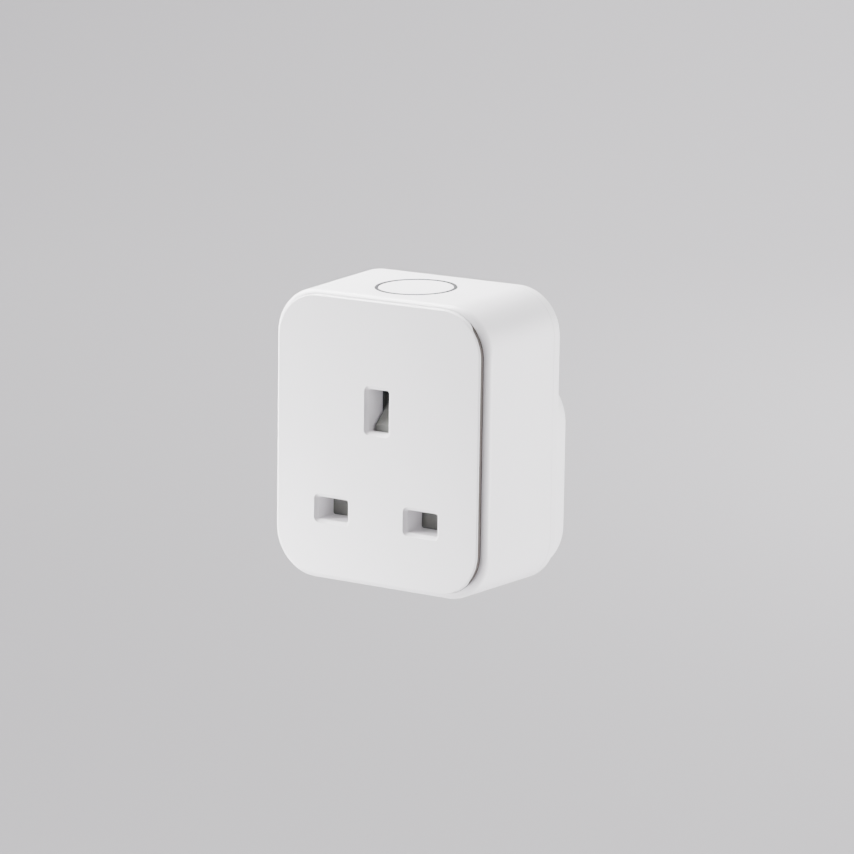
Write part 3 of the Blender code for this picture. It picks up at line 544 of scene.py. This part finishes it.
def make_cover():
    sections = [(SEAM_Y, inset_rect(body_rect(SEAM_Y), 0.0))]
    for depth, inset in reversed(quarter_round(REAR_EDGE)):
        sections.append((BODY_REAR - depth, inset_rect(body_rect(BODY_REAR - depth), inset)))
    cover = loft("cover_shell", sections)
    boss = [(BODY_REAR - REACH, inset_rect(BOSS, 0.0))]
    for depth, inset in reversed(quarter_round(REAR_EDGE)):
        boss.append((-depth, inset_rect(BOSS, inset)))
    join(cover, loft("boss", boss))
    pocket = [(y, inset_rect(body_rect(y), COVER_WALL)) for y in (SEAM_Y - REACH, COVER_WALL_Y)]
    cut(cover, loft("pocket", pocket))
    hollow = inset_rect(BOSS, BOSS_WALL)
    cut(cover, loft("boss_hollow", [(COVER_WALL_Y - REACH, hollow), (-BOSS_WALL, hollow)]))
    for x in (-SCREW_X, SCREW_X):
        for z in SCREW_ZS:
            join(cover, bar_y("column", x, z, COLUMN_RADIUS, COVER_WALL_Y, COLUMN_END_Y))
            cut(cover, bar_y("screw_recess", x, z, SCREW_RECESS_RADIUS, SCREW_RECESS_Y, REACH))
            cut(cover, bar_y("screw_clearance", x, z, SCREW_HOLE_RADIUS, COVER_WALL_Y - REACH, REACH))
    for size, x, z in ((LINE_PIN, LINE_X, LINE_Z), (LINE_PIN, -LINE_X, LINE_Z), (EARTH_PIN, 0.0, EARTH_Z)):
        width, height = (length + 2 * FIT for length in size)
        outline = rounded_rect(width, height, PIN_HOLE_CORNER, z, x, PIN_HOLE_STEPS)
        cut(cover, loft("pin_hole", [(-BOSS_WALL - REACH, outline), (REACH, outline)]))
    return finish(cover, WHITE, "shell_white", "base", "rear_cover")


def spun(name, profile):
    """A profile of radii and heights turned about the button's axis, set in the top face."""
    bm = bmesh.new()
    verts = [bm.verts.new((radius * MM, 0.0, height * MM)) for radius, height in profile]
    edges = [bm.edges.new(pair) for pair in zip(verts, verts[1:])]
    spin(bm, verts + edges, ROUND_STEPS)
    bmesh.ops.remove_doubles(bm, verts=bm.verts, dist=0.000001)
    bmesh.ops.transform(bm, matrix=button_frame(), verts=bm.verts)
    return mesh_object(name, bm)


def make_button():
    """The cap turned about its own axis, with a fine edge radius."""
    profile = [(0.0, 0.0)]
    flat_radius = BUTTON_RADIUS - BUTTON_EDGE
    for step in range(EDGE_STEPS + 1):
        angle = math.pi / 2 * step / EDGE_STEPS
        height = BUTTON_EDGE * (math.cos(angle) - 1.0)
        profile.append((flat_radius + BUTTON_EDGE * math.sin(angle), height))
    skirt_radius, skirt_top, skirt_low = BUTTON_SKIRT
    profile += [(BUTTON_RADIUS, skirt_top), (skirt_radius, skirt_top), (skirt_radius, skirt_low)]
    inside_radius, ceiling = BUTTON_INSIDE
    stem_radius, stem_end = BUTTON_STEM
    profile += [(inside_radius, skirt_low), (inside_radius, ceiling)]
    profile += [(stem_radius, ceiling), (stem_radius, stem_end), (0.0, stem_end)]
    return finish(spun("button_face", profile), WHITE, "shell_white", "button", "button_cap")


def make_ring():
    """The light guide in the groove round the button, its crown just proud."""
    inner, outer = RING_RADII
    flange, flange_top, flange_low = RING_FLANGE
    profile = [(inner, RING_SHOULDER), (inner + RING_SLOPE, RING_CROWN), (outer - RING_SLOPE, RING_CROWN)]
    profile += [(outer, RING_SHOULDER), (outer, flange_top), (flange, flange_top)]
    profile += [(flange, flange_low), (inner, flange_low), (inner, RING_SHOULDER)]
    return finish(spun("light_guide", profile), RING_DARK, "diffuser", "base", "light_ring")


# ---------------------------------------------------------------- studio

def make_floor():
    """A plain floor that sweeps up into a low lit wall all round."""
    profile = [(0.0, 0.0), (FLOOR_REACH, 0.0)]
    for step in range(1, SWEEP_STEPS + 1):
        angle = math.pi / 2 * step / SWEEP_STEPS
        profile.append((FLOOR_REACH + SWEEP * math.sin(angle), SWEEP * (1.0 - math.cos(angle))))
    profile.append((FLOOR_REACH + SWEEP, SWEEP + WALL_RISE))
    bm = bmesh.new()
    verts = [bm.verts.new((radius, 0.0, height)) for radius, height in profile]
    edges = [bm.edges.new(pair) for pair in zip(verts, verts[1:])]
    spin(bm, verts + edges, FLOOR_TURN_STEPS)
    for face in bm.faces:
        face.smooth = True
    floor = mesh_object("floor", bm)
    floor.location.z = FLOOR_Z * MM
    made, nodes, links, shader, coordinates = new_material("floor_paper")
    dark = tuple(0.97 * c for c in FLOOR_PALE)
    vary_colour(nodes, links, noise(nodes, links, coordinates, 0.6), shader, dark, FLOOR_PALE)
    shader.inputs["Roughness"].default_value = 0.9
    height = nodes.new("ShaderNodeSeparateXYZ")
    links.new(coordinates.outputs["Object"], height.inputs["Vector"])
    glow = nodes.new("ShaderNodeMapRange")
    glow.inputs["From Max"].default_value = SWEEP
    glow.inputs["To Max"].default_value = WALL_GLOW
    links.new(height.outputs["Z"], glow.inputs["Value"])
    shader.inputs["Emission Color"].default_value = (1.0, 0.98, 1.0, 1.0)
    links.new(glow.outputs["Result"], shader.inputs["Emission Strength"])
    floor.data.materials.append(made)


def area_light(name, place, target, size, power):
    """A soft square light that doesn't show itself."""
    data = bpy.data.lights.new(name, "AREA")
    data.shape = "SQUARE"
    data.size = size
    data.energy = power
    lamp = bpy.data.objects.new(name, data)
    lamp.location = place
    lamp.rotation_euler = (Vector(target) - Vector(place)).to_track_quat("-Z", "Y").to_euler()
    lamp.visible_camera = False
    bpy.context.scene.collection.objects.link(lamp)


def make_light():
    world = bpy.data.worlds.new("studio")
    world.use_nodes = True
    background = world.node_tree.nodes["Background"]
    background.inputs["Color"].default_value = (0.985, 0.98, 1.0, 1.0)
    background.inputs["Strength"].default_value = 0.04
    bpy.context.scene.world = world
    overhead = bpy.data.lights.new("overhead", "SUN")
    overhead.energy = 4.4
    overhead.angle = math.radians(50.0)
    lamp = bpy.data.objects.new("overhead", overhead)
    lamp.rotation_euler = (math.radians(12.0), math.radians(-24.0), 0.0)
    bpy.context.scene.collection.objects.link(lamp)
    centre = (0.0, 0.0, 0.0)
    area_light("key_light", (-0.6, -0.5, 0.45), centre, 0.3, 8.0)
    area_light("low_left_light", (-0.14, -0.14, -0.09), centre, 0.08, 1.15)
    area_light("rim_light", (-0.5, 0.08, -0.1), centre, 0.2, 1.0)
    area_light("side_light", (2.2, 2.0, 0.2), centre, 1.65, 78.0)
    area_light("right_light", (0.88, 0.2, -0.2), centre, 0.3, 16.5)
    area_light("top_light", (-0.22, 0.0, 0.27), centre, 0.2, 8.0)
    area_light("floor_light", (-1.1, 2.6, 1.0), (-1.1, 2.9, FLOOR_Z * MM), 1.4, 22.0)
    area_light("near_floor_light", (-0.2, 2.0, 0.3), (-0.35, 1.9, FLOOR_Z * MM), 0.8, 15.0)


def make_camera():
    azimuth = math.radians(CAMERA_AZIMUTH)
    elevation = math.radians(CAMERA_ELEVATION)
    roll = math.radians(CAMERA_ROLL)
    level = Vector((math.cos(azimuth), math.sin(azimuth), 0.0))
    back = Vector((
        math.sin(azimuth) * math.cos(elevation),
        -math.cos(azimuth) * math.cos(elevation),
        math.sin(elevation),
    ))
    upright = back.cross(level)
    right = level * math.cos(roll) + upright * math.sin(roll)
    up = upright * math.cos(roll) - level * math.sin(roll)
    data = bpy.data.cameras.new("camera")
    data.lens = CAMERA_LENS
    camera = bpy.data.objects.new("camera", data)
    aim = Vector((0.0, FACE_Y, 0.0)) + right * CAMERA_ACROSS + up * CAMERA_UP
    place = (aim + back * CAMERA_DISTANCE) * MM
    turn = Matrix((right, up, back)).transposed().to_4x4()
    camera.matrix_world = Matrix.Translation(place) @ turn
    bpy.context.scene.collection.objects.link(camera)
    bpy.context.scene.camera = camera


dress_frame()
make_plate()
# Dark strips of painted shade beside the plate
make_painted_shade_strip()
make_housing()
make_cover()
make_button()
make_ring()
make_floor()
make_light()
make_camera()
